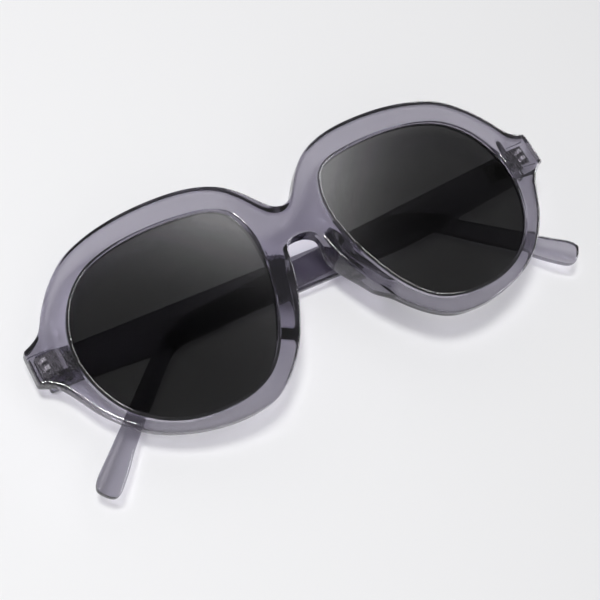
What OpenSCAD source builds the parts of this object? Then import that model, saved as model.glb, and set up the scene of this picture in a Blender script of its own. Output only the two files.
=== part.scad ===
// Oversized acetate sunglasses, folded, lying on the outer side of the left temple.
// The front faces up. X runs along the front, Y towards the brow, Z up. The origin is on
// the surface they lie on, under the middle of the bridge.

/* [Front] */
// Width of the front across the end pieces
front_w = 148.4; // [140:0.2:156]
// Unit of height for the outline of the front, a little over half its height
front_unit_h = 30; // [27:0.5:33]
// Radius of the gentle horizontal curve of the front
front_curve_r = 560; // [400:10:900]
// Thickness of the rims from front to back
rim_thick = 4; // [3.4:0.1:5]
// Depth from the middle of the front back to the flat back of the end pieces
end_depth = 9.9; // [9.6:0.1:10.2]
// Length of the thick end pieces, from the ends of the front inwards
end_length = 8.7; // [7.2:0.5:10.2]
// How far the step to the end pieces slopes
end_ramp = 2.5; // [1:0.5:4]
// How far the thick end pieces reach above the middle of the hinges
end_above = 4.6; // [4.2:0.1:6]
// How far they reach below it
end_below = 5.8; // [5.3:0.1:6.5]

/* [Lenses] */
// Thickness of each lens
lens_thick = 2; // [1.6:0.1:2.4]
// How far the lens lies behind the face of the rim
lens_recess = 1.2; // [0.8:0.1:1.6]
// How deep the edge of the lens goes into the groove of the rim
groove_deep = 0.8; // [0.4:0.1:1.2]
// Gap round the lens in its groove
lens_gap = 0.05; // [0.02:0.01:0.15]

/* [Nose pads] */
// How far the pads stand back behind the rims
pad_depth = 6.2; // [4:0.2:7]
// Radius of the pads at the rim
pad_base_r = 2.6; // [2.2:0.1:2.8]
// Radius of the rounded back of the pads
pad_tip_r = 1.5; // [1:0.1:2]
// How far the back of the pads leans away from the nose
pad_lean = 2.6; // [2:0.2:4]

/* [Temples] */
// Length of each temple from the hinge to the tip, along the straight part
temple_len = 144.5; // [140:0.5:150]
// Unit for the height of the temple's outline
temple_unit_h = 10; // [9:0.5:11]
// Thickness of the temples
temple_thick = 2.7; // [2.6:0.1:2.8]
// Height of the straight top edge of the temples above the middle of the hinge
temple_top = 4.2; // [3.6:0.1:5]
// How far past the middle of the bridge the temples stay straight when folded
straight_past = 1; // [0.5:0.5:6]
// Radius of the inward bow
bow_r = 365; // [340:5:450]
// Droop of the left temple towards the tip, in degrees
droop_left = 0.9; // [0.7:0.1:1.6]
// Droop of the right temple towards the tip, in degrees
droop_right = 2.8; // [2.4:0.1:3.2]
// Gap between the folded temples where they lie closest
stack_gap = 0.27; // [0.25:0.05:0.6]
// Angle of the right temple to the front when folded, in degrees
fold_right = 0; // [-1:0.1:0.3]

/* [Hinges] */
// Distance of each hinge axis from the end of the front
hinge_inset = 5.2; // [4.8:0.1:5.6]
// Height of the middle of each hinge above the middle of the front
hinge_y = 2.4; // [2:0.1:2.8]
// Distance of the hinge axes behind the back of the end pieces
hinge_behind = 2.1; // [2:0.1:2.2]
// Radius of the hinge barrels
barrel_r = 1.4; // [1.3:0.05:1.5]
// Height of each barrel
barrel_h = 1.9; // [1.7:0.1:2.1]
// Gap between the barrels along the screw
barrel_gap = 0.1; // [0.05:0.01:0.15]
// Distance from the hinge axis to the inner face of the temple
axis_to_temple = 1; // [0.9:0.05:1.1]
// Thickness of the hinge plates
plate_t = 0.8; // [0.6:0.1:0.9]
// Height of the hinge plates
plate_h = 5.2; // [4.6:0.1:5.6]
// Length of the plate in the end piece
front_plate_l = 6; // [5.6:0.1:6.2]
// Length of the plate in the temple
temple_plate_l = 7.6; // [7:0.1:8]
// Width of the square anchor teeth
tooth_w = 1; // [0.8:0.1:1.2]
// Distance between the two anchor teeth
tooth_pitch = 2.1; // [1.9:0.1:2.3]
// Length of the anchor teeth in the end piece
front_tooth_l = 2.2; // [1.8:0.1:2.4]
// Length of the anchor teeth in the temple
temple_tooth_l = 1.2; // [0.8:0.1:1.3]
// Radius of the screw
screw_r = 0.6; // [0.5:0.05:0.7]
// Radius of the screw head
head_r = 1; // [0.9:0.05:1.1]
// Height of the screw head
head_h = 0.6; // [0.5:0.1:0.7]
// Clearance of the screw in its barrels
screw_gap = 0.03; // [0.02:0.01:0.05]
// Clearance round the barrels in the acetate
notch_gap = 0.35; // [0.3:0.05:0.5]
// How far the end of the temple reaches past the hinge axis
butt_reach = 0.55; // [0.5:0.05:0.6]

/* [Hidden] */

acetate = [0.56, 0.54, 0.61, 0.75];
smoke = [0.13, 0.13, 0.13, 0.9];
metal = [0.72, 0.72, 0.74];

$fn = 64;
curve_fn = 1440;
round_fn = 32;
big = 200;
half_w = front_w / 2;
end_start_x = half_w - end_length;
hinge_x = half_w - hinge_inset;
hinge_z = end_depth + hinge_behind;
bow_start = hinge_x + straight_past;
// The folded temples lie closest where the left one bends down, this far from its hinge.
bend_share = 0.82;
cross_at = bend_share * temple_len;
cross_bow = bow_r - sqrt(bow_r * bow_r - (cross_at - bow_start) * (cross_at - bow_start));
// Angle of the left temple to the front when folded.
fold_left = asin((temple_thick + stack_gap + cross_bow) / cross_at);
plate_back_z = -end_depth;

// Half of the outer edge of the front as shares of the half width and of the unit of
// height: the brow from the middle of the bridge out to the end piece.
brow_shares = [
  [0, 0.45], [0.027, 0.47], [0.054, 0.525], [0.106, 0.685], [0.163, 0.81],
  [0.235, 0.89], [0.323, 0.935], [0.437, 0.95], [0.55, 0.935], [0.66, 0.885],
  [0.755, 0.795], [0.835, 0.635], [0.889, 0.475], [0.929, 0.325], [0.962, 0.265],
  [1, 0.23]
];
// The same for the lower edge, from the end piece back to the middle of the nose arch.
cheek_shares = [
  [1.004, -0.065], [0.968, -0.11], [0.937, -0.19], [0.911, -0.305], [0.875, -0.475],
  [0.822, -0.65], [0.761, -0.795], [0.68, -0.91], [0.59, -0.985], [0.5, -1.025],
  [0.418, -1.027], [0.35, -0.997], [0.29, -0.915], [0.233, -0.787], [0.187, -0.647],
  [0.147, -0.48], [0.11, -0.293], [0.087, -0.143], [0.077, -0.05], [0.069, 0.04],
  [0.058, 0.105], [0.036, 0.152], [0, 0.165]
];
// The opening for a lens, all the way round.
lens_shares = [
  [0.424, 0.73], [0.33, 0.712], [0.247, 0.674], [0.191, 0.597], [0.162, 0.467],
  [0.147, 0.3], [0.151, 0.115], [0.167, -0.083], [0.195, -0.283], [0.232, -0.483],
  [0.279, -0.657], [0.34, -0.79], [0.418, -0.858], [0.505, -0.873], [0.593, -0.85],
  [0.674, -0.78], [0.745, -0.66], [0.803, -0.495], [0.84, -0.287], [0.856, -0.067],
  [0.849, 0.133], [0.82, 0.327], [0.768, 0.503], [0.694, 0.633], [0.606, 0.7],
  [0.518, 0.727]
];
// The top edge of a temple behind the bend, as shares of its length and of its unit of
// height, from the straight part to the tip.
temple_top_shares = [
  [0.6, 0], [0.65, 0], [0.69, -0.03], [0.72, -0.115], [0.75, -0.275], [0.78, -0.5],
  [0.81, -0.8], [0.84, -1.13], [0.88, -1.57], [0.92, -2.0], [0.96, -2.43], [0.985, -2.7]
];
// The rounded tip.
temple_tip_shares = [
  [0.995, -2.86], [0.998, -2.99], [0.992, -3.15], [0.983, -3.29], [0.974, -3.34],
  [0.963, -3.28]
];
// The lower edge, from the tip back to the hinge.
temple_low_shares = [
  [0.95, -3.13], [0.93, -2.87], [0.91, -2.58], [0.88, -2.2], [0.85, -1.86], [0.82, -1.5],
  [0.79, -1.14], [0.765, -0.87], [0.74, -0.73], [0.71, -0.68], [0.66, -0.69], [0.58, -0.735],
  [0.5, -0.8], [0.42, -0.885], [0.35, -0.97], [0.28, -1.035], [0.22, -1.05], [0.16, -1.02],
  [0.1, -0.97], [0.05, -0.94]
];
// Points along each stretch of a smooth edge.
steps = 3;

// One stretch of a smooth curve through b and c, with a and d as the next points.
function stretch(a, b, c, d, t) =
  (2 * b + (c - a) * t + (2 * a - 5 * b + 4 * c - d) * t * t
   + (3 * b - a - 3 * c + d) * t * t * t) / 2;

// A smooth open curve through the points of a list.
function smooth_open(p) = concat(
  [for (i = [0 : len(p) - 2], k = [0 : steps - 1])
    stretch(i > 0 ? p[i - 1] : 2 * p[0] - p[1], p[i], p[i + 1],
            i < len(p) - 2 ? p[i + 2] : 2 * p[i + 1] - p[i], k / steps)],
  [p[len(p) - 1]]);

// A smooth closed curve through the points of a list.
function smooth_closed(p) =
  [for (i = [0 : len(p) - 1], k = [0 : steps - 1])
    stretch(p[(i + len(p) - 1) % len(p)], p[i], p[(i + 1) % len(p)],
            p[(i + 2) % len(p)], k / steps)];

// A closed outline moved outwards by d, for a list that runs anticlockwise.
function side_of(v) = [v[1], -v[0]] / norm(v);
function grow(p, d) =
  [for (i = [0 : len(p) - 1])
    p[i] + d * side_of(p[(i + 1) % len(p)] - p[(i + len(p) - 1) % len(p)])];

// Shares turned into lengths.
function sized(p, w, h) = [for (q = p) [q[0] * w, q[1] * h]];

half_edge = concat(
  smooth_open(sized(brow_shares, half_w, front_unit_h)),
  smooth_open(sized(cheek_shares, half_w, front_unit_h)));
front_edge = concat(
  half_edge,
  [for (i = [len(half_edge) - 2 : -1 : 1]) [-half_edge[i][0], half_edge[i][1]]]);
lens_opening = smooth_closed(sized(lens_shares, half_w, front_unit_h));
lens_edge = grow(lens_opening, groove_deep - lens_gap);
groove_edge = grow(lens_opening, groove_deep);

// Height of the temple at the hinge, as a share of its unit of height.
temple_end_share = 0.91;
temple_end = [[-3 * butt_reach, temple_top]];
temple_edge = concat(
  temple_end,
  smooth_open(concat(
    [for (q = sized(temple_top_shares, temple_len, temple_unit_h)) q + [0, temple_top]],
    [for (q = sized(temple_tip_shares, temple_len, temple_unit_h)) q + [0, temple_top]],
    [for (q = sized(temple_low_shares, temple_len, temple_unit_h)) q + [0, temple_top]])),
  [[-3 * butt_reach, temple_top - temple_end_share * temple_unit_h]]);

// Height of the left hinge axis above the surface the temple lies on.
axis_h = axis_to_temple + temple_thick;

// The whole front, tilted on the folded left temple.
module place_front() {
  translate([0, 0, axis_h + hinge_x * sin(fold_left) + hinge_z * cos(fold_left)])
    rotate([0, -fold_left, 0])
      children();
}

// A hinge of the front: side is 1 on the right and -1 on the left.
module place_hinge(side) {
  place_front()
    translate([side * hinge_x, hinge_y, -hinge_z])
      children();
}

// A temple, drawn along +X from its hinge axis with its inner face up.
module place_temple(side) {
  place_hinge(side)
    rotate([0, side < 0 ? fold_left : -fold_right, 0])
      mirror([side < 0 ? 0 : 1, 0, 0])
        children();
}

// Everything behind the face of the front down to a depth that follows its curve.
module behind(depth) {
  translate([0, big / 2, -front_curve_r])
    rotate([90, 0, 0])
      cylinder(r = front_curve_r - depth, h = big, $fn = curve_fn);
}

// A flat outline given the curve of the front, between two depths.
module curved_layer(edge, from, to) {
  difference() {
    intersection() {
      translate([0, 0, -end_depth])
        linear_extrude(2 * end_depth)
          polygon(edge);
      behind(from);
    }
    behind(to);
  }
}

// The thick end pieces from the rims back, with a sloping step at their inner ends.
module end_pieces() {
  for (side = [0, 1])
    mirror([side, 0, 0])
      translate([0, hinge_y + end_above, 0])
        rotate([90, 0, 0])
          linear_extrude(end_above + end_below)
            polygon([
              [end_start_x, 0], [end_start_x, -rim_thick - front_sag],
              [end_start_x + end_ramp, -end_depth - rim_thick],
              [front_w, -end_depth - rim_thick], [front_w, 0]
            ]);
}

module front_solid() {
  difference() {
    intersection() {
      translate([0, 0, plate_back_z])
        linear_extrude(2 * end_depth)
          polygon(front_edge);
      behind(0);
    }
    difference() {
      behind(rim_thick);
      end_pieces();
    }
    for (side = [-1, 1])
      mirror([side < 0 ? 1 : 0, 0, 0]) {
        translate([0, 0, -big / 2])
          linear_extrude(big)
            polygon(lens_opening);
        curved_layer(groove_edge, lens_recess, lens_recess + lens_thick);
        translate([hinge_x, hinge_y, -hinge_z]) {
          plate_front();
          teeth_front();
        }
      }
  }
}
// Depth of the curve of the front where the thin rims end.
front_sag = front_curve_r - sqrt(front_curve_r * front_curve_r - end_start_x * end_start_x);

module front_frame() {
  color(acetate)
    place_front()
      front_solid();
}

module lens(side) {
  color(smoke)
    place_front()
      mirror([side < 0 ? 1 : 0, 0, 0])
        curved_layer(lens_edge, lens_recess + lens_gap, lens_recess + lens_thick - lens_gap);
}

// Middle of the pad along the nose side of the rim, top and bottom.
pad_top = [0.112 * half_w, 0.06 * front_unit_h];
pad_mid = [0.133 * half_w, -0.217 * front_unit_h];
pad_low = [0.19 * half_w, -0.473 * front_unit_h];

module nose_pad(side) {
  color(acetate)
    place_front()
      mirror([side < 0 ? 1 : 0, 0, 0])
        difference() {
          hull() {
            for (p = [pad_top, pad_mid, pad_low])
              translate([p[0], p[1], -rim_thick - rim_thick / 4])
                cylinder(r = pad_base_r, h = rim_thick, $fn = round_fn);
            translate([pad_mid[0] + pad_lean, pad_mid[1] + pad_tip_r,
                       -rim_thick - pad_depth + pad_tip_r])
              sphere(r = pad_tip_r, $fn = round_fn);
            translate([pad_low[0] + pad_lean / 2, pad_low[1] + pad_tip_r,
                       -rim_thick - pad_depth + pad_tip_r + pad_tip_r / 2])
              sphere(r = pad_tip_r, $fn = round_fn);
          }
          behind_front();
        }
}

// Everything in front of the back of the rims.
module behind_front() {
  difference() {
    translate([-big / 2, -big / 2, -end_depth])
      cube([big, big, big]);
    behind(rim_thick);
  }
}

// Total height of the three barrels.
hinge_h = 3 * barrel_h + 2 * barrel_gap;
// Steps of the hinge along its axis.
barrel_pitch = barrel_h + barrel_gap;
// Height of each web that carries an outer barrel, from the middle barrel's room to the plate's end.
web_h = (plate_h - barrel_h) / 2 - barrel_gap;

module barrel(level) {
  translate([0, level * barrel_pitch, 0])
    rotate([90, 0, 0])
      cylinder(r = barrel_r, h = barrel_h, center = true);
}

module screw_bore(r) {
  rotate([90, 0, 0])
    cylinder(r = r, h = 2 * hinge_h, center = true);
}

// Height of the sunk plate above the hinge axis.
front_plate_z = hinge_z - end_depth;

module plate_front() {
  translate([barrel_r + tooth_w - front_plate_l + tooth_w / 2, -plate_h / 2, front_plate_z])
    cube([front_plate_l, plate_h, plate_t]);
}

module teeth_front() {
  for (k = [-1, 1])
    translate([barrel_r - tooth_w / 2, k * tooth_pitch / 2 - tooth_w / 2, front_plate_z])
      cube([tooth_w, tooth_w, plate_t + front_tooth_l]);
}

module front_hinge(side) {
  color(metal)
    place_hinge(side)
      mirror([side < 0 ? 1 : 0, 0, 0])
        difference() {
          union() {
            plate_front();
            teeth_front();
            for (level = [-1, 1]) {
              barrel(level);
              translate([-plate_t / 2, level * (plate_h - web_h) / 2 - web_h / 2, 0])
                cube([plate_t, web_h, front_plate_z + plate_t / 2]);
            }
          }
          screw_bore(screw_r + screw_gap);
          translate([0, hinge_h / 2 - head_h + big / 2, 0])
            rotate([90, 0, 0])
              cylinder(r = head_r + screw_gap, h = big, center = true);
          // room for the middle barrel
          rotate([90, 0, 0])
            cylinder(r = barrel_r + barrel_gap, h = barrel_h + 2 * barrel_gap, center = true);
        }
}

module hinge_screw(side) {
  color(metal)
    place_hinge(side)
      rotate([90, 0, 0])
        union() {
          translate([0, 0, -hinge_h / 2])
            cylinder(r = head_r, h = head_h);
          translate([0, 0, -hinge_h / 2])
            cylinder(r = screw_r, h = hinge_h);
        }
}

// The slab of a temple, from the inner face down by from to to: straight, then bowed up.
module temple_slab(from, to) {
  translate([-butt_reach, -big / 2, -axis_to_temple - to])
    cube([butt_reach + bow_start, big, to - from]);
  difference() {
    translate([bow_start, big / 2, bow_r - axis_to_temple - temple_thick])
      rotate([90, 0, 0])
        difference() {
          cylinder(r = bow_r - temple_thick + to, h = big, $fn = curve_fn);
          translate([0, 0, -big / 2])
            cylinder(r = bow_r - temple_thick + from, h = 2 * big, $fn = curve_fn);
        }
    translate([bow_start - 4 * bow_r, -big, -2 * bow_r])
      cube([4 * bow_r, 2 * big, 4 * bow_r]);
    translate([bow_start - bow_r, -big, bow_r / 2])
      cube([4 * bow_r, 2 * big, 4 * bow_r]);
  }
}

module temple_outline(droop) {
  rotate([0, 0, -droop])
    translate([0, 0, -big / 2])
      linear_extrude(big)
        polygon(temple_edge);
}

module plate_temple() {
  translate([barrel_r + notch_gap, -plate_h / 2, -axis_to_temple - plate_t])
    cube([temple_plate_l - barrel_r - notch_gap, plate_h, plate_t]);
  translate([0, -barrel_h / 2, -axis_to_temple - plate_t])
    cube([barrel_r + 2 * notch_gap, barrel_h, plate_t]);
}

module teeth_temple() {
  for (k = [-1, 1])
    translate([temple_plate_l / 2, k * tooth_pitch / 2 - tooth_w / 2,
               -axis_to_temple - plate_t - temple_tooth_l])
      cube([tooth_w, tooth_w, plate_t + temple_tooth_l]);
}

module temple(side) {
  droop = side < 0 ? droop_left : droop_right;
  color(acetate)
    place_temple(side)
      difference() {
        intersection() {
          temple_slab(0, temple_thick);
          temple_outline(droop);
        }
        rotate([90, 0, 0])
          cylinder(r = barrel_r + notch_gap, h = hinge_h + 2 * notch_gap, center = true);
        plate_temple();
        teeth_temple();
      }
}

module temple_hinge(side) {
  color(metal)
    place_temple(side)
      difference() {
        union() {
          barrel(0);
          plate_temple();
          teeth_temple();
        }
        screw_bore(screw_r + screw_gap);
      }
}

module lens_left() { lens(-1); }
module lens_right() { lens(1); }
module nose_pad_left() { nose_pad(-1); }
module nose_pad_right() { nose_pad(1); }
module front_hinge_left() { front_hinge(-1); }
module front_hinge_right() { front_hinge(1); }
module hinge_screw_left() { hinge_screw(-1); }
module hinge_screw_right() { hinge_screw(1); }
module temple_left() { temple(-1); }
module temple_right() { temple(1); }
module temple_hinge_left() { temple_hinge(-1); }
module temple_hinge_right() { temple_hinge(1); }

front_frame();
lens_left();
lens_right();
nose_pad_left();
nose_pad_right();
front_hinge_left();
front_hinge_right();
hinge_screw_left();
hinge_screw_right();
temple_left();
temple_right();
temple_hinge_left();
temple_hinge_right();
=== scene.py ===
import bpy
import bmesh
import numpy as np
from mathutils import Matrix


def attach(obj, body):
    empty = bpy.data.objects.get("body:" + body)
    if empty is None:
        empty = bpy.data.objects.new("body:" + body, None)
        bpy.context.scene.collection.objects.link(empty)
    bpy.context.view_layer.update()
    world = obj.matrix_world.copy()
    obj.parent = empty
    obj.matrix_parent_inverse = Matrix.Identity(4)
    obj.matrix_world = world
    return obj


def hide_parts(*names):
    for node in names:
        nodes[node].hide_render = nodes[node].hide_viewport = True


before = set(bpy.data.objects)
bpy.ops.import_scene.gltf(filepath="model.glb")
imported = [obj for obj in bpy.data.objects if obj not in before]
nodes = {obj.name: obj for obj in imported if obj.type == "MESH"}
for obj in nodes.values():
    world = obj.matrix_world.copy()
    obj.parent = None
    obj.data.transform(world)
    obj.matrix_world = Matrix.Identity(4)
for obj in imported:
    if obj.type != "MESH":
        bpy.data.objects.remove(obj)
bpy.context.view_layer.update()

# The camera looks down on the folded pair from the chin side, left of the middle, through a
# long lens. Its place, in metres, and the right and down sides of its picture are in the
# pair's own frame.
camera_place = (-0.17561, -0.10475, 0.35805)
camera_right = np.array((0.828676, -0.489677, 0.271132))
camera_down = np.array((-0.361117, -0.837824, -0.409446))


def placed(obj, place, right, up):
    """Puts a lamp or camera at place, with its own x and y along right and up."""
    turn = np.eye(4)
    turn[:3, :3] = np.stack([right, up, np.cross(right, up)], -1)
    turn[:3, 3] = place
    obj.matrix_world = Matrix(turn.tolist())
    bpy.context.scene.collection.objects.link(obj)


sight = bpy.data.cameras.new("sight")
sight.lens, sight.sensor_width = 96.0, 36.0
sight.clip_start, sight.clip_end = 0.01, 20.0
camera = bpy.data.objects.new("camera", sight)
placed(camera, camera_place, camera_right, -camera_down)
bpy.context.scene.camera = camera

# The front is one sheet of lavender-grey acetate, milled to two rims, a bridge and two thick
# end pieces, bent to a slight curve, with moulded nose pads bonded to its back, and tumbled
# until every edge is round and polished. Sizes are in millimetres.
mm = 0.001
front_w = 148.4
front_unit_h = 30.0
front_curve_r = 560.0
rim_thick, bridge_extra = 4.0, 2.6
end_depth = 9.9
end_start_x, end_ramp = 65.0, 3.0
end_low, end_low_out, end_low_in = -3.4, 0.4, 0.8
end_high, end_high_ramp = 8.0, 3.0
front_edge_r, back_edge_r, opening_edge_r = 0.62, 1.5, 0.7
half_w = front_w / 2
lens_recess, lens_thick, groove_deep = 1.2, 2.0, 0.8
# the backs of the end pieces and the inner faces of the temples stay this far inside the solids
just_inside = 0.02

# The front lies tilted on the folded temples, which cross behind it, one over the other. Its
# tilt and height follow from where they cross, their bow there and the gap between them.
axis_to_temple, temple_thick, temple_len = 1.0, 2.7, 144.5
hinge_inset, hinge_z = 5.2, 12.0
hinge_x = half_w - hinge_inset
bow_start, bow_r = hinge_x + 1.0, 365.0
cross_share, stack_gap = 0.82, 0.27
cross_at = cross_share * temple_len
cross_bow = bow_r - np.sqrt(bow_r**2 - (cross_at - bow_start) ** 2)
fold_left = np.arcsin((temple_thick + stack_gap + cross_bow) / cross_at)
front_h = axis_to_temple + temple_thick + hinge_x * np.sin(fold_left) + hinge_z * np.cos(fold_left)

# Half of the outer edge, as shares of the half width and of the unit of height: the brow out
# to the end piece, then the cheek back to the nose arch.
brow_shares = [
    (0, 0.45), (0.027, 0.47), (0.054, 0.525), (0.106, 0.685), (0.163, 0.81), (0.235, 0.89),
    (0.323, 0.935), (0.437, 0.95), (0.55, 0.935), (0.66, 0.885), (0.755, 0.795),
    (0.835, 0.635), (0.889, 0.475), (0.929, 0.325), (0.962, 0.265), (1, 0.23)]
cheek_shares = [
    (1.004, -0.065), (0.968, -0.11), (0.937, -0.19), (0.911, -0.305), (0.875, -0.475),
    (0.822, -0.65), (0.761, -0.795), (0.68, -0.91), (0.59, -0.985), (0.5, -1.025),
    (0.418, -1.027), (0.35, -0.997), (0.29, -0.915), (0.233, -0.787), (0.187, -0.647),
    (0.147, -0.48), (0.11, -0.293), (0.087, -0.143), (0.077, -0.05), (0.069, 0.04),
    (0.058, 0.105), (0.036, 0.152), (0, 0.165)]
lens_shares = [
    (0.424, 0.73), (0.33, 0.712), (0.247, 0.674), (0.191, 0.597), (0.162, 0.467),
    (0.147, 0.3), (0.151, 0.115), (0.167, -0.083), (0.195, -0.283), (0.232, -0.483),
    (0.279, -0.657), (0.34, -0.79), (0.418, -0.858), (0.505, -0.873), (0.593, -0.85),
    (0.674, -0.78), (0.745, -0.66), (0.803, -0.495), (0.84, -0.287), (0.856, -0.067),
    (0.849, 0.133), (0.82, 0.327), (0.768, 0.503), (0.694, 0.633), (0.606, 0.7),
    (0.518, 0.727)]


def smooth_curve(points, closed, steps=12):
    """A cubic through every point: each stretch leaves along the line between its neighbours."""
    p = np.array(points, float)
    if closed:
        a, b, c, d = np.roll(p, 1, 0), p, np.roll(p, -1, 0), np.roll(p, -2, 0)
    else:
        q = np.vstack([2 * p[0] - p[1], p, 2 * p[-1] - p[-2]])
        a, b, c, d = q[:-3], q[1:-2], q[2:-1], q[3:]
    t = (np.arange(steps) / steps)[None, :, None]
    a, b, c, d = (v[:, None, :] for v in (a, b, c, d))
    curve = 2 * b + (c - a) * t + (2 * a - 5 * b + 4 * c - d) * t**2
    curve = ((curve + (3 * b - a - 3 * c + d) * t**3) / 2).reshape(-1, 2)
    return curve if closed else np.vstack([curve, p[-1:]])


def even(curve, count):
    """count points at equal distances along an open line of points, both ends kept."""
    along = np.r_[0, np.cumsum(np.hypot(*np.diff(curve, axis=0).T))]
    s = np.linspace(0, along[-1], count)
    return np.c_[np.interp(s, along, curve[:, 0]), np.interp(s, along, curve[:, 1])]


def soften(loop, width):
    """Rounds the corners of a closed, evenly spaced loop: a bell-shaped average over width."""
    gap = np.hypot(*(np.roll(loop, -1, 0) - loop).T).mean()
    k = np.fft.fftfreq(len(loop), d=gap)
    bell = np.exp(-2 * (np.pi * k * width) ** 2)
    return np.stack([np.fft.ifft(np.fft.fft(c) * bell).real for c in loop.T], -1)


def inward(loop):
    """The unit vector at each point of a clockwise loop, square to it, towards its inside."""
    along = np.roll(loop, -1, 0) - np.roll(loop, 1, 0)
    along /= np.hypot(*along.T)[:, None]
    return np.c_[along[:, 1], -along[:, 0]]


def ease(v, start, end):
    """0 before start, 1 after end, and a smooth S between."""
    t = np.clip((v - start) / (end - start), 0, 1)
    return t * t * (3 - 2 * t)


edge_count, edge_soft = 501, 0.45
opening_count, opening_soft = 721, 0.3
brow = smooth_curve(np.array(brow_shares) * (half_w, front_unit_h), False)
cheek = smooth_curve(np.array(cheek_shares) * (half_w, front_unit_h), False)
half_line = even(np.vstack([brow, cheek]), edge_count)
whole = soften(np.vstack([half_line[:-1], (half_line * (-1, 1))[:0:-1]]), edge_soft)
whole_in = inward(whole)
outer, outer_in = whole[:edge_count], whole_in[:edge_count]
outer[[0, -1], 0] = 0
outer_in[[0, -1], 0] = 0
opening = smooth_curve(np.array(lens_shares)[::-1] * (half_w, front_unit_h), True)
opening = even(np.vstack([opening, opening[:1]]), opening_count)[:-1]
opening = soften(opening, opening_soft)
# the point about which the bearings of all rings are taken
lens_middle = np.array([37.0, 4.0])

# the bridge's crease leans outwards towards the brow and fades at both of its ends
crease_height, crease_width = 0.05, 0.7
crease_x, crease_lean, crease_y = 5.1, 0.135, 3.5
crease_low, crease_high = (2.0, 5.0), (12.0, 16.0)


def bent(x):
    """Height of the bent sheet's face at x: a cylinder of radius front_curve_r about y."""
    return np.sqrt(front_curve_r**2 - x**2) - front_curve_r


def face_height(flat):
    """Height of the face: a cylinder about y, with a faint crease at each side of the bridge."""
    x, y = np.abs(flat[..., 0]), flat[..., 1]
    crease = crease_x + crease_lean * (y - crease_y)
    line = np.exp(-(((x - crease) / crease_width) ** 2))
    line = line * ease(y, *crease_low) * (1 - ease(y, *crease_high))
    return bent(x) + crease_height * line


# The pads rise along the nasal wall: full height up to pad_wide from it, tapered from pad_slim
# downwards, and run out over pad_run at both ends. The bridge thickens over two ramps.
pad_depth, pad_taper, pad_run = 5.8, 0.45, 6.0
pad_top_y, pad_low_y = 3.6, -20.5
pad_wide, pad_slim = (4.4, 5.8), (3.0, 15.0)
pad_zone_x, pad_zone_y = 26.0, 8.0
bridge_across, bridge_up = (2.0, 16.0), (-1.5, 5.0)
wall_zone_x, wall_zone_y = 24.0, 5.0
nose_side = outer[(outer[:, 0] < wall_zone_x) & (outer[:, 1] < wall_zone_y)]


def from_nose(p):
    """Distance of each point from the line of the nasal wall, and the y of the nearest point,
    which lies on one of the two segments beside the nearest corner of the line."""
    k = np.linalg.norm(p[:, None] - nose_side[None], axis=-1).argmin(1)
    best, at = np.full(len(p), np.inf), np.zeros(len(p))
    for first in (k - 1, k):
        first = np.clip(first, 0, len(nose_side) - 2)
        a, b = nose_side[first], nose_side[first + 1]
        share = ((p - a) * (b - a)).sum(1) / ((b - a) ** 2).sum(1)
        foot = a + np.clip(share, 0, 1)[:, None] * (b - a)
        gap = np.hypot(*(p - foot).T)
        at = np.where(gap < best, foot[:, 1], at)
        best = np.minimum(gap, best)
    return best, at


def back_height(flat):
    """Height of the back: the bent sheet less the rims' thickness, the pads and the bridge's
    extra, which goes over to a flat back at the end pieces."""
    x, y = np.abs(flat[..., 0]), flat[..., 1]
    thin = bent(x) - rim_thick
    end = ease(x, end_start_x, end_start_x + end_ramp)
    end = end * ease(y, end_low - end_low_out, end_low + end_low_in)
    end = end * (1 - ease(y, end_high - end_high_ramp, end_high + end_high_ramp))
    depth = np.zeros(flat.shape[:-1])
    close = (x < pad_zone_x) & (y < pad_zone_y)
    if close.any():
        s, at = from_nose(flat[close])
        rise = pad_depth * (1 - pad_taper * ease(-at, *pad_slim)) * (1 - ease(s, *pad_wide))
        rise = rise * (1 - ease(at, pad_top_y - pad_run, pad_top_y))
        depth[close] = rise * ease(at, pad_low_y, pad_low_y + pad_run)
    bridge = bridge_extra * (1 - ease(x, *bridge_across)) * ease(y, *bridge_up)
    return (thin - depth - bridge) * (1 - end) + (just_inside - end_depth) * end


def tilt_front(p):
    """Turns points of the front by the fold angle about y and lifts them on to the temples."""
    c, s = np.cos(fold_left), np.sin(fold_left)
    x, y, z = p[..., 0], p[..., 1], p[..., 2]
    return np.stack([c * x - s * z, y, s * x + c * z + front_h], -1)


# in metres: points closer than weld_gap become one, edges shorter than sliver_gap go
weld_gap, sliver_gap = 2e-6, 1e-7


def skin(name, patches, sharp=35):
    """One closed mesh from grids of points, each joined row to row, then welded together."""
    verts, faces, start = [], [], 0
    for grid, wraps in patches:
        n, m = grid.shape[:2]
        i, j = np.meshgrid(np.arange(n - 1), np.arange(m if wraps else m - 1), indexing="ij")
        k = (j + 1) % m
        ring = np.stack([i * m + j, i * m + k, (i + 1) * m + k, (i + 1) * m + j], -1)
        faces.append(ring.reshape(-1, 4) + start)
        verts.append(grid.reshape(-1, 3))
        start += n * m
    mesh = bpy.data.meshes.new(name)
    mesh.from_pydata((np.concatenate(verts) * mm).tolist(), [], np.concatenate(faces).tolist())
    work = bmesh.new()
    work.from_mesh(mesh)
    bmesh.ops.remove_doubles(work, verts=work.verts, dist=weld_gap)
    bmesh.ops.dissolve_degenerate(work, edges=work.edges, dist=sliver_gap)
    bmesh.ops.recalc_face_normals(work, faces=work.faces)
    work.to_mesh(mesh)
    work.free()
    mesh.polygons.foreach_set("use_smooth", np.ones(len(mesh.polygons), bool))
    mesh.set_sharp_from_angle(angle=np.radians(sharp))
    piece = bpy.data.objects.new(name, mesh)
    bpy.context.scene.collection.objects.link(piece)
    return piece


def bearing_of(points):
    """The bearing of each point from the middle of the lens, from 0 to a full turn."""
    return np.arctan2(*(points - lens_middle).T[::-1]) % (2 * np.pi)


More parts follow.
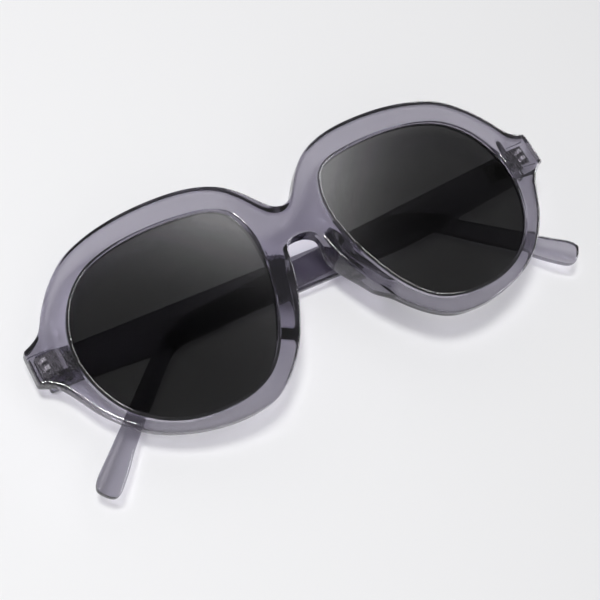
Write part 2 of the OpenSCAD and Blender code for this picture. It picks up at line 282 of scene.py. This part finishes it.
def rim_ring(away):
    """The lens opening moved outwards by away, at the same bearings as the outer edge."""
    ring = opening - away * inward(opening)
    keys = bearing_of(ring)
    order = np.argsort(keys)
    far = np.hypot(*(ring - lens_middle).T)[order]
    keys = keys[order]
    keys = np.r_[keys - 2 * np.pi, keys, keys + 2 * np.pi]
    reach = np.interp(ring_bearing % (2 * np.pi), keys, np.tile(far, 3))
    return lens_middle + reach[:, None] * np.c_[np.cos(ring_bearing), np.sin(ring_bearing)]


def at_height(flat, height):
    """Flat points with the given heights as their z."""
    return np.concatenate([flat, height[..., None]], -1)


def rounding(radius):
    """A quarter circle in steps: radius times 1 - cos inwards and radius times 1 - sin down."""
    return radius * (1 - np.cos(round_steps)), radius * (1 - np.sin(round_steps))


def between(first, last, rows):
    """Rows of points in equal steps from the first row to the last, both kept."""
    share = np.linspace(0, 1, rows)[:, None, None]
    return first * (1 - share) + last * share


round_steps = np.linspace(0, np.pi / 2, 8)
face_rows, back_rows, wall_rows, seam_count = 10, 36, 8, 13
patches = []
outer_walls, inner_walls = {}, {}
for side, height, radius, rows in (
        (1, face_height, front_edge_r, face_rows), (-1, back_height, back_edge_r, back_rows)):
    # the rounded outer edge leaves the wall and ends flat, one radius inside the edge
    inset, drop = rounding(radius)
    flat = outer + outer_in * inset[:, None, None]
    edge = at_height(flat, height(flat) - side * drop[:, None])
    patches.append((edge, False))
    outer_walls[side] = edge[0]
    seam_y = np.linspace(flat[-1, -1, 1], flat[-1, 0, 1], seam_count)
    seam = np.c_[np.zeros(seam_count), seam_y][1:-1]
    around = np.vstack([flat[-1], seam])
    if side == 1:
        # every ring of both faces takes its bearings from this one, and none turns back
        bearing = np.unwrap(np.arctan2(*(around - lens_middle).T[::-1]))
        ring_bearing = np.minimum.accumulate(bearing)
    # the rounded edge of the lens opening
    inset, drop = rounding(min(radius, opening_edge_r))
    flat = np.array([rim_ring(away) for away in inset])
    edge = at_height(flat, height(flat) - side * drop[:, None])
    patches.append((edge, True))
    inner_walls[side] = edge[0]
    flat = between(flat[-1], around, rows)
    patches.append((at_height(flat, height(flat)), True))
patches.append((between(outer_walls[1], outer_walls[-1], wall_rows), False))
lip, deep = rim_ring(0.0), rim_ring(groove_deep)
groove_low = lens_recess + lens_thick
patches.append((np.array([
    inner_walls[1],
    at_height(lip, face_height(lip) - lens_recess),
    at_height(deep, face_height(deep) - lens_recess),
    at_height(deep, face_height(deep) - groove_low),
    at_height(lip, face_height(lip) - groove_low),
    inner_walls[-1]]), True))
front = skin("front", [(tilt_front(g * (side, 1, 1)), w) for side in (1, -1) for g, w in patches])


def number_sockets(group, values):
    """Gives a group one number input for each name, with its value as the default."""
    for name, value in values.items():
        socket = group.interface.new_socket(
            name=name, in_out="INPUT", socket_type="NodeSocketFloat")
        socket.default_value = value


def polish_group():
    """Wear shared by every polished surface: fine rubbing marks and broad, faint clouds."""
    group = bpy.data.node_groups.new("polish", "ShaderNodeTree")
    number_sockets(
        group, {"Fine Scale": 900.0, "Cloud Scale": 60.0, "Smooth": 0.03, "Rough": 0.1})
    for name in ("Roughness", "Height", "Cloud"):
        group.interface.new_socket(name=name, in_out="OUTPUT", socket_type="NodeSocketFloat")
    take = group.nodes.new("NodeGroupInput")
    give = group.nodes.new("NodeGroupOutput")
    where = group.nodes.new("ShaderNodeTexCoord")
    stretch = group.nodes.new("ShaderNodeMapping")
    stretch.inputs["Rotation"].default_value = (0, 0, 0.5)
    stretch.inputs["Scale"].default_value = (1, 0.3, 1)
    fine = group.nodes.new("ShaderNodeTexNoise")
    fine.inputs["Detail"].default_value = 3
    cloud = group.nodes.new("ShaderNodeTexNoise")
    cloud.inputs["Detail"].default_value = 2
    cloud.inputs["Distortion"].default_value = 0.6
    spread = group.nodes.new("ShaderNodeMapRange")
    spread.inputs["From Min"].default_value = 0.3
    spread.inputs["From Max"].default_value = 0.75
    group.links.new(where.outputs["Object"], stretch.inputs["Vector"])
    group.links.new(stretch.outputs["Vector"], fine.inputs["Vector"])
    group.links.new(stretch.outputs["Vector"], cloud.inputs["Vector"])
    group.links.new(take.outputs["Fine Scale"], fine.inputs["Scale"])
    group.links.new(take.outputs["Cloud Scale"], cloud.inputs["Scale"])
    group.links.new(fine.outputs["Fac"], spread.inputs["Value"])
    group.links.new(take.outputs["Smooth"], spread.inputs["To Min"])
    group.links.new(take.outputs["Rough"], spread.inputs["To Max"])
    group.links.new(spread.outputs["Result"], give.inputs["Roughness"])
    group.links.new(fine.outputs["Fac"], give.inputs["Height"])
    group.links.new(cloud.outputs["Fac"], give.inputs["Cloud"])
    return group


polish = polish_group()
mark_depth = 0.00005


def add_polish(mat, values, bump_strength):
    """Places the polish group in a material and links its roughness and its bump."""
    tree = mat.node_tree
    body = tree.nodes["Principled BSDF"]
    marks = tree.nodes.new("ShaderNodeGroup")
    marks.node_tree = polish
    for name, value in values.items():
        marks.inputs[name].default_value = value
    bump = tree.nodes.new("ShaderNodeBump")
    bump.inputs["Strength"].default_value = bump_strength
    bump.inputs["Distance"].default_value = mark_depth
    tree.links.new(marks.outputs["Roughness"], body.inputs["Roughness"])
    tree.links.new(marks.outputs["Height"], bump.inputs["Height"])
    tree.links.new(bump.outputs["Normal"], body.inputs["Normal"])
    return marks


def cloud_tone(mat, marks, dark, light, start=0.0, end=1.0):
    """A colour that goes from dark to light as the polish group's clouds go from start to end."""
    tree = mat.node_tree
    tone = tree.nodes.new("ShaderNodeValToRGB")
    stops = tone.color_ramp.elements
    stops[0].position, stops[0].color = start, (*dark, 1)
    stops[1].position, stops[1].color = end, (*light, 1)
    tree.links.new(marks.outputs["Cloud"], tone.inputs["Fac"])
    return tone.outputs["Color"]


def see_through(mat, shadow_colour):
    """Lets light fall through: shadow rays meet a plain clear surface of the given colour."""
    tree = mat.node_tree
    body = tree.nodes["Principled BSDF"]
    clear = tree.nodes.new("ShaderNodeBsdfTransparent")
    clear.inputs["Color"].default_value = (*shadow_colour, 1)
    path = tree.nodes.new("ShaderNodeLightPath")
    mix = tree.nodes.new("ShaderNodeMixShader")
    tree.links.new(path.outputs["Is Shadow Ray"], mix.inputs["Fac"])
    tree.links.new(body.outputs["BSDF"], mix.inputs[1])
    tree.links.new(clear.outputs["BSDF"], mix.inputs[2])
    tree.links.new(mix.outputs["Shader"], tree.nodes["Material Output"].inputs["Surface"])


acetate = bpy.data.materials.new("lavender_grey_acetate")
acetate.use_nodes = True
body = acetate.node_tree.nodes["Principled BSDF"]
body.inputs["IOR"].default_value = 1.49
body.inputs["Transmission Weight"].default_value = 1.0
marks = add_polish(
    acetate, {"Fine Scale": 700.0, "Cloud Scale": 45.0, "Smooth": 0.02, "Rough": 0.09}, 0.12)
tone = cloud_tone(acetate, marks, (0.608, 0.592, 0.646), (0.676, 0.66, 0.71), 0.3, 0.7)
acetate.node_tree.links.new(tone, body.inputs["Base Color"])
see_through(acetate, (0.6, 0.6, 0.605))
depth_tint = acetate.node_tree.nodes.new("ShaderNodeVolumeAbsorption")
depth_tint.inputs["Color"].default_value = (0.17, 0.135, 0.25, 1)
depth_tint.inputs["Density"].default_value = 120.0
acetate.node_tree.links.new(
    depth_tint.outputs["Volume"], acetate.node_tree.nodes["Material Output"].inputs["Volume"])

front.data.materials.append(acetate)
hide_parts("front_frame", "nose_pad_left", "nose_pad_right")
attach(front, "front")

# Each lens is a 2 mm sheet of dark grey tinted plastic, moulded to a slight dome, cut to the
# opening and snapped into its groove from the front.
lens_gap, lens_dome = 0.05, 0.45
lens_rings, ring_spread, lens_sharp = 40, 0.8, 50
coat_floor = 0.004


def lens_shell(side):
    """Rings from the middle to the edge of the opening, on the front's curve plus a low dome."""
    edge = rim_ring(groove_deep - lens_gap)
    grow = (np.linspace(0, 1, lens_rings) ** ring_spread)[:, None, None]
    flat = lens_middle + (edge - lens_middle) * grow
    height = bent(flat[..., 0]) - lens_recess - lens_gap + lens_dome * (1 - grow[..., 0] ** 2)
    face, back = at_height(flat, height), at_height(flat, height - lens_thick + 2 * lens_gap)
    rim = np.array([face[-1], back[-1]])
    return [(tilt_front(g * (side, 1, 1)), True) for g in (face, back, rim)]


def painted_highlight_group():
    """Tint and mirror coat of both lenses, which fade outwards and down from the nose and brow;
    the lighter tint there is a painted highlight.

    The place along the fade is |x| - y in mm, and both fade as e to minus place over reach.
    """
    group = bpy.data.node_groups.new("lens_painted_highlight", "ShaderNodeTree")
    group.interface.new_socket(name="Tint", in_out="INPUT", socket_type="NodeSocketColor")
    number_sockets(
        group, {"Painted Highlight Reach": 13.0, "Painted Highlight Gain": 4.9, "Coat Reach": 8.0, "Coat Gain": 1.0})
    group.interface.new_socket(name="Tint", in_out="OUTPUT", socket_type="NodeSocketColor")
    group.interface.new_socket(name="Coat", in_out="OUTPUT", socket_type="NodeSocketFloat")
    take, give = group.nodes.new("NodeGroupInput"), group.nodes.new("NodeGroupOutput")

    def step(kind, *values):
        """One math node of the given kind; each value is a number or another node's output."""
        node = group.nodes.new("ShaderNodeMath")
        node.operation = kind
        for socket, value in zip(node.inputs, values):
            if isinstance(value, (int, float)):
                socket.default_value = value
            else:
                group.links.new(value, socket)
        return node.outputs["Value"]

    where = group.nodes.new("ShaderNodeTexCoord")
    apart = group.nodes.new("ShaderNodeSeparateXYZ")
    group.links.new(where.outputs["Object"], apart.inputs["Vector"])
    place = step("SUBTRACT", step("ABSOLUTE", apart.outputs["X"]), apart.outputs["Y"])
    place = step("MULTIPLY", place, -1 / mm)

    def fade(reach, gain):
        """Gain times e to the power of place over reach; place is below 0 away from the nose."""
        drop = step("DIVIDE", place, take.outputs[reach])
        return step("MULTIPLY", step("POWER", float(np.e), drop), take.outputs[gain])

    lift = group.nodes.new("ShaderNodeVectorMath")
    lift.operation = "SCALE"
    group.links.new(take.outputs["Tint"], lift.inputs[0])
    group.links.new(step("ADD", fade("Painted Highlight Reach", "Painted Highlight Gain"), 1.0), lift.inputs["Scale"])
    group.links.new(lift.outputs["Vector"], give.inputs["Tint"])
    coat = step("MINIMUM", step("ADD", fade("Coat Reach", "Coat Gain"), coat_floor), 1.0)
    group.links.new(coat, give.inputs["Coat"])
    return group


tint = bpy.data.materials.new("dark_grey_tint")
tint.use_nodes = True
glass = tint.node_tree.nodes["Principled BSDF"]
glass.inputs["IOR"].default_value = 1.5
glass.inputs["Transmission Weight"].default_value = 1.0
marks = add_polish(
    tint, {"Fine Scale": 300.0, "Cloud Scale": 40.0, "Smooth": 0.0, "Rough": 0.03}, 0.0)
glass.inputs["Specular Tint"].default_value = (0.02, 0.02, 0.02, 1)
glass.inputs["Coat IOR"].default_value = 3.8
glass.inputs["Coat Roughness"].default_value = 0.02
tone = cloud_tone(tint, marks, (0.034, 0.034, 0.034), (0.038, 0.038, 0.0375))
# the lenses' tint is lightened by place towards the nose and brow: a painted highlight
painted_highlight = tint.node_tree.nodes.new("ShaderNodeGroup")
painted_highlight.node_tree = painted_highlight_group()
tint.node_tree.links.new(tone, painted_highlight.inputs["Tint"])
tint.node_tree.links.new(painted_highlight.outputs["Tint"], glass.inputs["Base Color"])
tint.node_tree.links.new(painted_highlight.outputs["Coat"], glass.inputs["Coat Weight"])
see_through(tint, (0.62, 0.62, 0.62))

for side, name in ((-1, "left"), (1, "right")):
    lens = skin("tinted_lens_" + name, lens_shell(side), lens_sharp)
    lens.data.materials.append(tint)
    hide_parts("lens_" + name)
    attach(lens, "front")

# Each temple is one strip of the same acetate, cut deep at the hinge, thinned towards the
# middle, bowed inwards, bent down behind the ear, and tumbled to round edges. The leaf of its
# hinge is sunk into its inner face.
temple_unit_h, temple_top, hinge_y = 10.0, 4.2, 2.4
temple_edge_r, temple_soft = 0.8, 0.45
loop_count, side_count, strip_rows, strip_wall_rows = 2401, 421, 11, 4
butt_reach, butt_low = 1.4, -0.91
droops = {"left": 0.9, "right": 2.8}
# how light each strip's acetate is painted beside the front's, as the photo shows the two: darker
# copies of one acetate, a painted shade that is deepest on the right strip
strip_painted_shade = {"left": 0.91, "right": 0.75}
temple_top_shares = [
    (0.6, 0), (0.65, 0), (0.69, -0.03), (0.72, -0.115), (0.75, -0.275), (0.78, -0.5),
    (0.81, -0.8), (0.84, -1.13), (0.88, -1.57), (0.92, -2.0), (0.96, -2.43), (0.985, -2.7)]
temple_tip_shares = [
    (0.995, -2.86), (0.998, -2.99), (0.992, -3.15), (0.983, -3.29), (0.974, -3.34),
    (0.963, -3.28)]
temple_low_shares = [
    (0.95, -3.13), (0.93, -2.87), (0.91, -2.58), (0.88, -2.2), (0.85, -1.86), (0.82, -1.5),
    (0.79, -1.14), (0.765, -0.87), (0.74, -0.73), (0.71, -0.68), (0.66, -0.69), (0.58, -0.735),
    (0.5, -0.8), (0.42, -0.885), (0.35, -0.97), (0.28, -1.035), (0.22, -1.05), (0.16, -1.02),
    (0.1, -0.97), (0.05, -0.94)]


def temple_line():
    """The closed outline in mm from the hinge axis, from the middle of the butt over the top."""
    body = smooth_curve(temple_top_shares + temple_tip_shares + temple_low_shares, False)
    body = body * (temple_len, temple_unit_h) + (0, temple_top)
    low = temple_top + butt_low * temple_unit_h
    start = [(-butt_reach, (temple_top + low) / 2), (-butt_reach, temple_top)]
    end = [(-butt_reach, low), (-butt_reach, (temple_top + low) / 2)]
    loop = soften(even(np.vstack([start, body, end]), loop_count)[:-1], temple_soft)
    tip = np.argmax(np.hypot(*loop.T))
    over, under = loop[:tip + 1], np.vstack([loop[tip:], loop[:1]])
    return np.vstack([even(over, side_count)[:-1], even(under, side_count)[:-1]])


def lay_temple(flat, deep, droop):
    """Turns flat points down by the droop, then lays them deep under the bowed inner face."""
    c, s = np.cos(np.radians(droop)), np.sin(np.radians(droop))
    x = np.maximum(flat[..., 0] * c + flat[..., 1] * s, -butt_reach)
    y = -flat[..., 0] * s + flat[..., 1] * c
    r = bow_r - temple_thick + deep
    arc = np.sqrt(r**2 - np.clip(x - bow_start, 0, None) ** 2)
    z = bow_r - axis_to_temple - temple_thick - arc
    return np.stack([x, y, z], -1)


def temple_shell(droop):
    """Two faces between the long edges, their rounded edges and the wall between them."""
    loop = temple_line()
    into = inward(loop)
    half = len(loop) // 2
    out, walls = [], []
    steps = list(zip(*rounding(temple_edge_r)))
    for far, sign in ((just_inside, 1), (temple_thick, -1)):
        rows = np.array([lay_temple(loop + into * a, far + sign * b, droop) for a, b in steps])
        out.append((rows, True))
        walls.append(rows[0])
        flat = loop + into * temple_edge_r
        upper, lower = flat[:half + 1], np.vstack([flat[:1], flat[:half - 1:-1]])
        out.append((lay_temple(between(upper, lower, strip_rows), far, droop), False))
    out.append((between(walls[0], walls[1], strip_wall_rows), True))
    return out


hinge_left = np.array([
    -hinge_x * np.cos(fold_left) + hinge_z * np.sin(fold_left), hinge_y,
    axis_to_temple + temple_thick])
for name in ("left", "right"):
    shell = temple_shell(droops[name])
    if name == "left":
        shell = [(g + hinge_left, w) for g, w in shell]
    else:
        shell = [(tilt_front(g * (-1, 1, 1) + (hinge_x, hinge_y, -hinge_z)), w) for g, w in shell]
    temple = skin("temple_strip_" + name, shell)
    # each strip gets its own copy of the acetate, painted darker as painted shade
    strip = acetate.copy()
    strip.name = "acetate_painted_shade_strip_" + name
    for stop in strip.node_tree.nodes["Color Ramp"].color_ramp.elements:
        stop.color = [c * strip_painted_shade[name] for c in stop.color[:3]] + [1]
    temple.data.materials.append(strip)
    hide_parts("temple_" + name)
    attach(temple, name + "_temple")

# Each hinge is two pressed leaves of nickel silver, sunk into the acetate and held together at
# their barrels by a turned screw, which is the axle. All are lightly brushed, and they are the
# CAD's own solids. The ends of their teeth are painted near white: a painted highlight.
# the tooth ends above this height are painted near white as a painted highlight
painted_glint_rise = 2.0  # the teeth shine from this far above the backs of the end pieces
metal = bpy.data.materials.new("nickel_silver")
metal.use_nodes = True
shine = metal.node_tree.nodes["Principled BSDF"]
shine.inputs["Metallic"].default_value = 1.0
marks = add_polish(
    metal, {"Fine Scale": 2600.0, "Cloud Scale": 300.0, "Smooth": 0.2, "Rough": 0.38}, 0.05)
tone = cloud_tone(metal, marks, (0.24, 0.235, 0.235), (0.34, 0.335, 0.33))
# how far a point lies above the leaves, in metres, along the front's own outward direction
where = metal.node_tree.nodes.new("ShaderNodeTexCoord")
lift = metal.node_tree.nodes.new("ShaderNodeVectorMath")
lift.operation = "DOT_PRODUCT"
lift.inputs[1].default_value = (-np.sin(fold_left), 0, np.cos(fold_left))
painted_glint_mask = metal.node_tree.nodes.new("ShaderNodeMath")
painted_glint_mask.operation = "GREATER_THAN"
painted_glint_mask.inputs[1].default_value = (front_h * np.cos(fold_left) - end_depth + painted_glint_rise) * mm
# a colour mix has its two colours at sockets 6 and 7 and gives its result at 2
# above that height the base colour turns near white: a painted highlight on the tooth ends
painted_glint = metal.node_tree.nodes.new("ShaderNodeMix")
painted_glint.data_type = "RGBA"
painted_glint.inputs[7].default_value = (0.95, 0.94, 0.93, 1)
metal.node_tree.links.new(where.outputs["Object"], lift.inputs[0])
metal.node_tree.links.new(lift.outputs["Value"], painted_glint_mask.inputs[0])
metal.node_tree.links.new(painted_glint_mask.outputs["Value"], painted_glint.inputs[0])
metal.node_tree.links.new(tone, painted_glint.inputs[6])
metal.node_tree.links.new(painted_glint.outputs[2], shine.inputs["Base Color"])
for kind in ("front_hinge_", "hinge_screw_", "temple_hinge_"):
    for side in ("left", "right"):
        part = nodes[kind + side]
        part.data.materials.clear()
        part.data.materials.append(metal)

# The floor is a plain pale sheet just under the pair, and is no piece of the part.
floor_half, floor_drop = 3.0, 5e-5
floor_mesh = bpy.data.meshes.new("floor")
floor_corners = ((-1, -1), (1, -1), (1, 1), (-1, 1))
corners = [(a * floor_half, b * floor_half, -floor_drop) for a, b in floor_corners]
floor_mesh.from_pydata(corners, [], [(0, 1, 2, 3)])
floor = bpy.data.objects.new("floor", floor_mesh)
bpy.context.scene.collection.objects.link(floor)
paper = bpy.data.materials.new("pale_floor")
paper.use_nodes = True
matt = paper.node_tree.nodes["Principled BSDF"]
matt.inputs["Base Color"].default_value = (0.88, 0.88, 0.892, 1)
matt.inputs["Roughness"].default_value = 0.7
matt.inputs["Specular IOR Level"].default_value = 0.0
floor_mesh.materials.append(paper)

# Soft studio light in three parts: an even pale dome, one small softbox high on the left, which
# throws the short shadows, and a long strip low on the right, which only gloss sees.
dome_level, seen_level = 0.34, 0.86
lamp_way = np.array((-0.30, 0.06, 0.94))
lamp_far, lamp_size, lamp_power = 0.9, 0.16, 5.5

world = bpy.data.worlds.new("dome")
bpy.context.scene.world = world
world.use_nodes = True
tree = world.node_tree
back = tree.nodes["Background"]
back.inputs["Color"].default_value = (1, 1, 1, 1)
seen = tree.nodes.new("ShaderNodeLightPath")
# a number mix has its two numbers at sockets 2 and 3: only the camera sees the brighter one
keep = tree.nodes.new("ShaderNodeMix")
tree.links.new(seen.outputs["Is Camera Ray"], keep.inputs[0])
keep.inputs[2].default_value, keep.inputs[3].default_value = dome_level, seen_level
tree.links.new(keep.outputs[0], back.inputs["Strength"])

lamp_data = bpy.data.lights.new("softbox", "AREA")
lamp_data.shape, lamp_data.size, lamp_data.energy = "DISK", lamp_size, lamp_power
lamp = bpy.data.objects.new("softbox", lamp_data)
lamp.visible_transmission = False
lamp_way = lamp_way / np.linalg.norm(lamp_way)
lamp_right = np.cross((0, 1.0, 0), lamp_way)
lamp_right /= np.linalg.norm(lamp_right)
placed(lamp, lamp_far * lamp_way, lamp_right, np.cross(lamp_way, lamp_right))

# the strip draws the light lines along the edges
strip_far, strip_long, strip_wide, strip_power = 0.92, 1.8, 0.24, 22.0
strip_way = np.array((0.917, 0, 0.40))
strip_data = bpy.data.lights.new("strip", "AREA")
strip_data.shape, strip_data.size, strip_data.size_y = "RECTANGLE", strip_wide, strip_long
strip_data.energy = strip_power
strip_lamp = bpy.data.objects.new("strip", strip_data)
strip_lamp.visible_diffuse = False
strip_lamp.visible_transmission = False
strip_up = np.array((0, 1.0, 0))
placed(strip_lamp, strip_far * strip_way, np.cross(strip_up, strip_way), strip_up)

bpy.context.scene.view_settings.view_transform = "Standard"
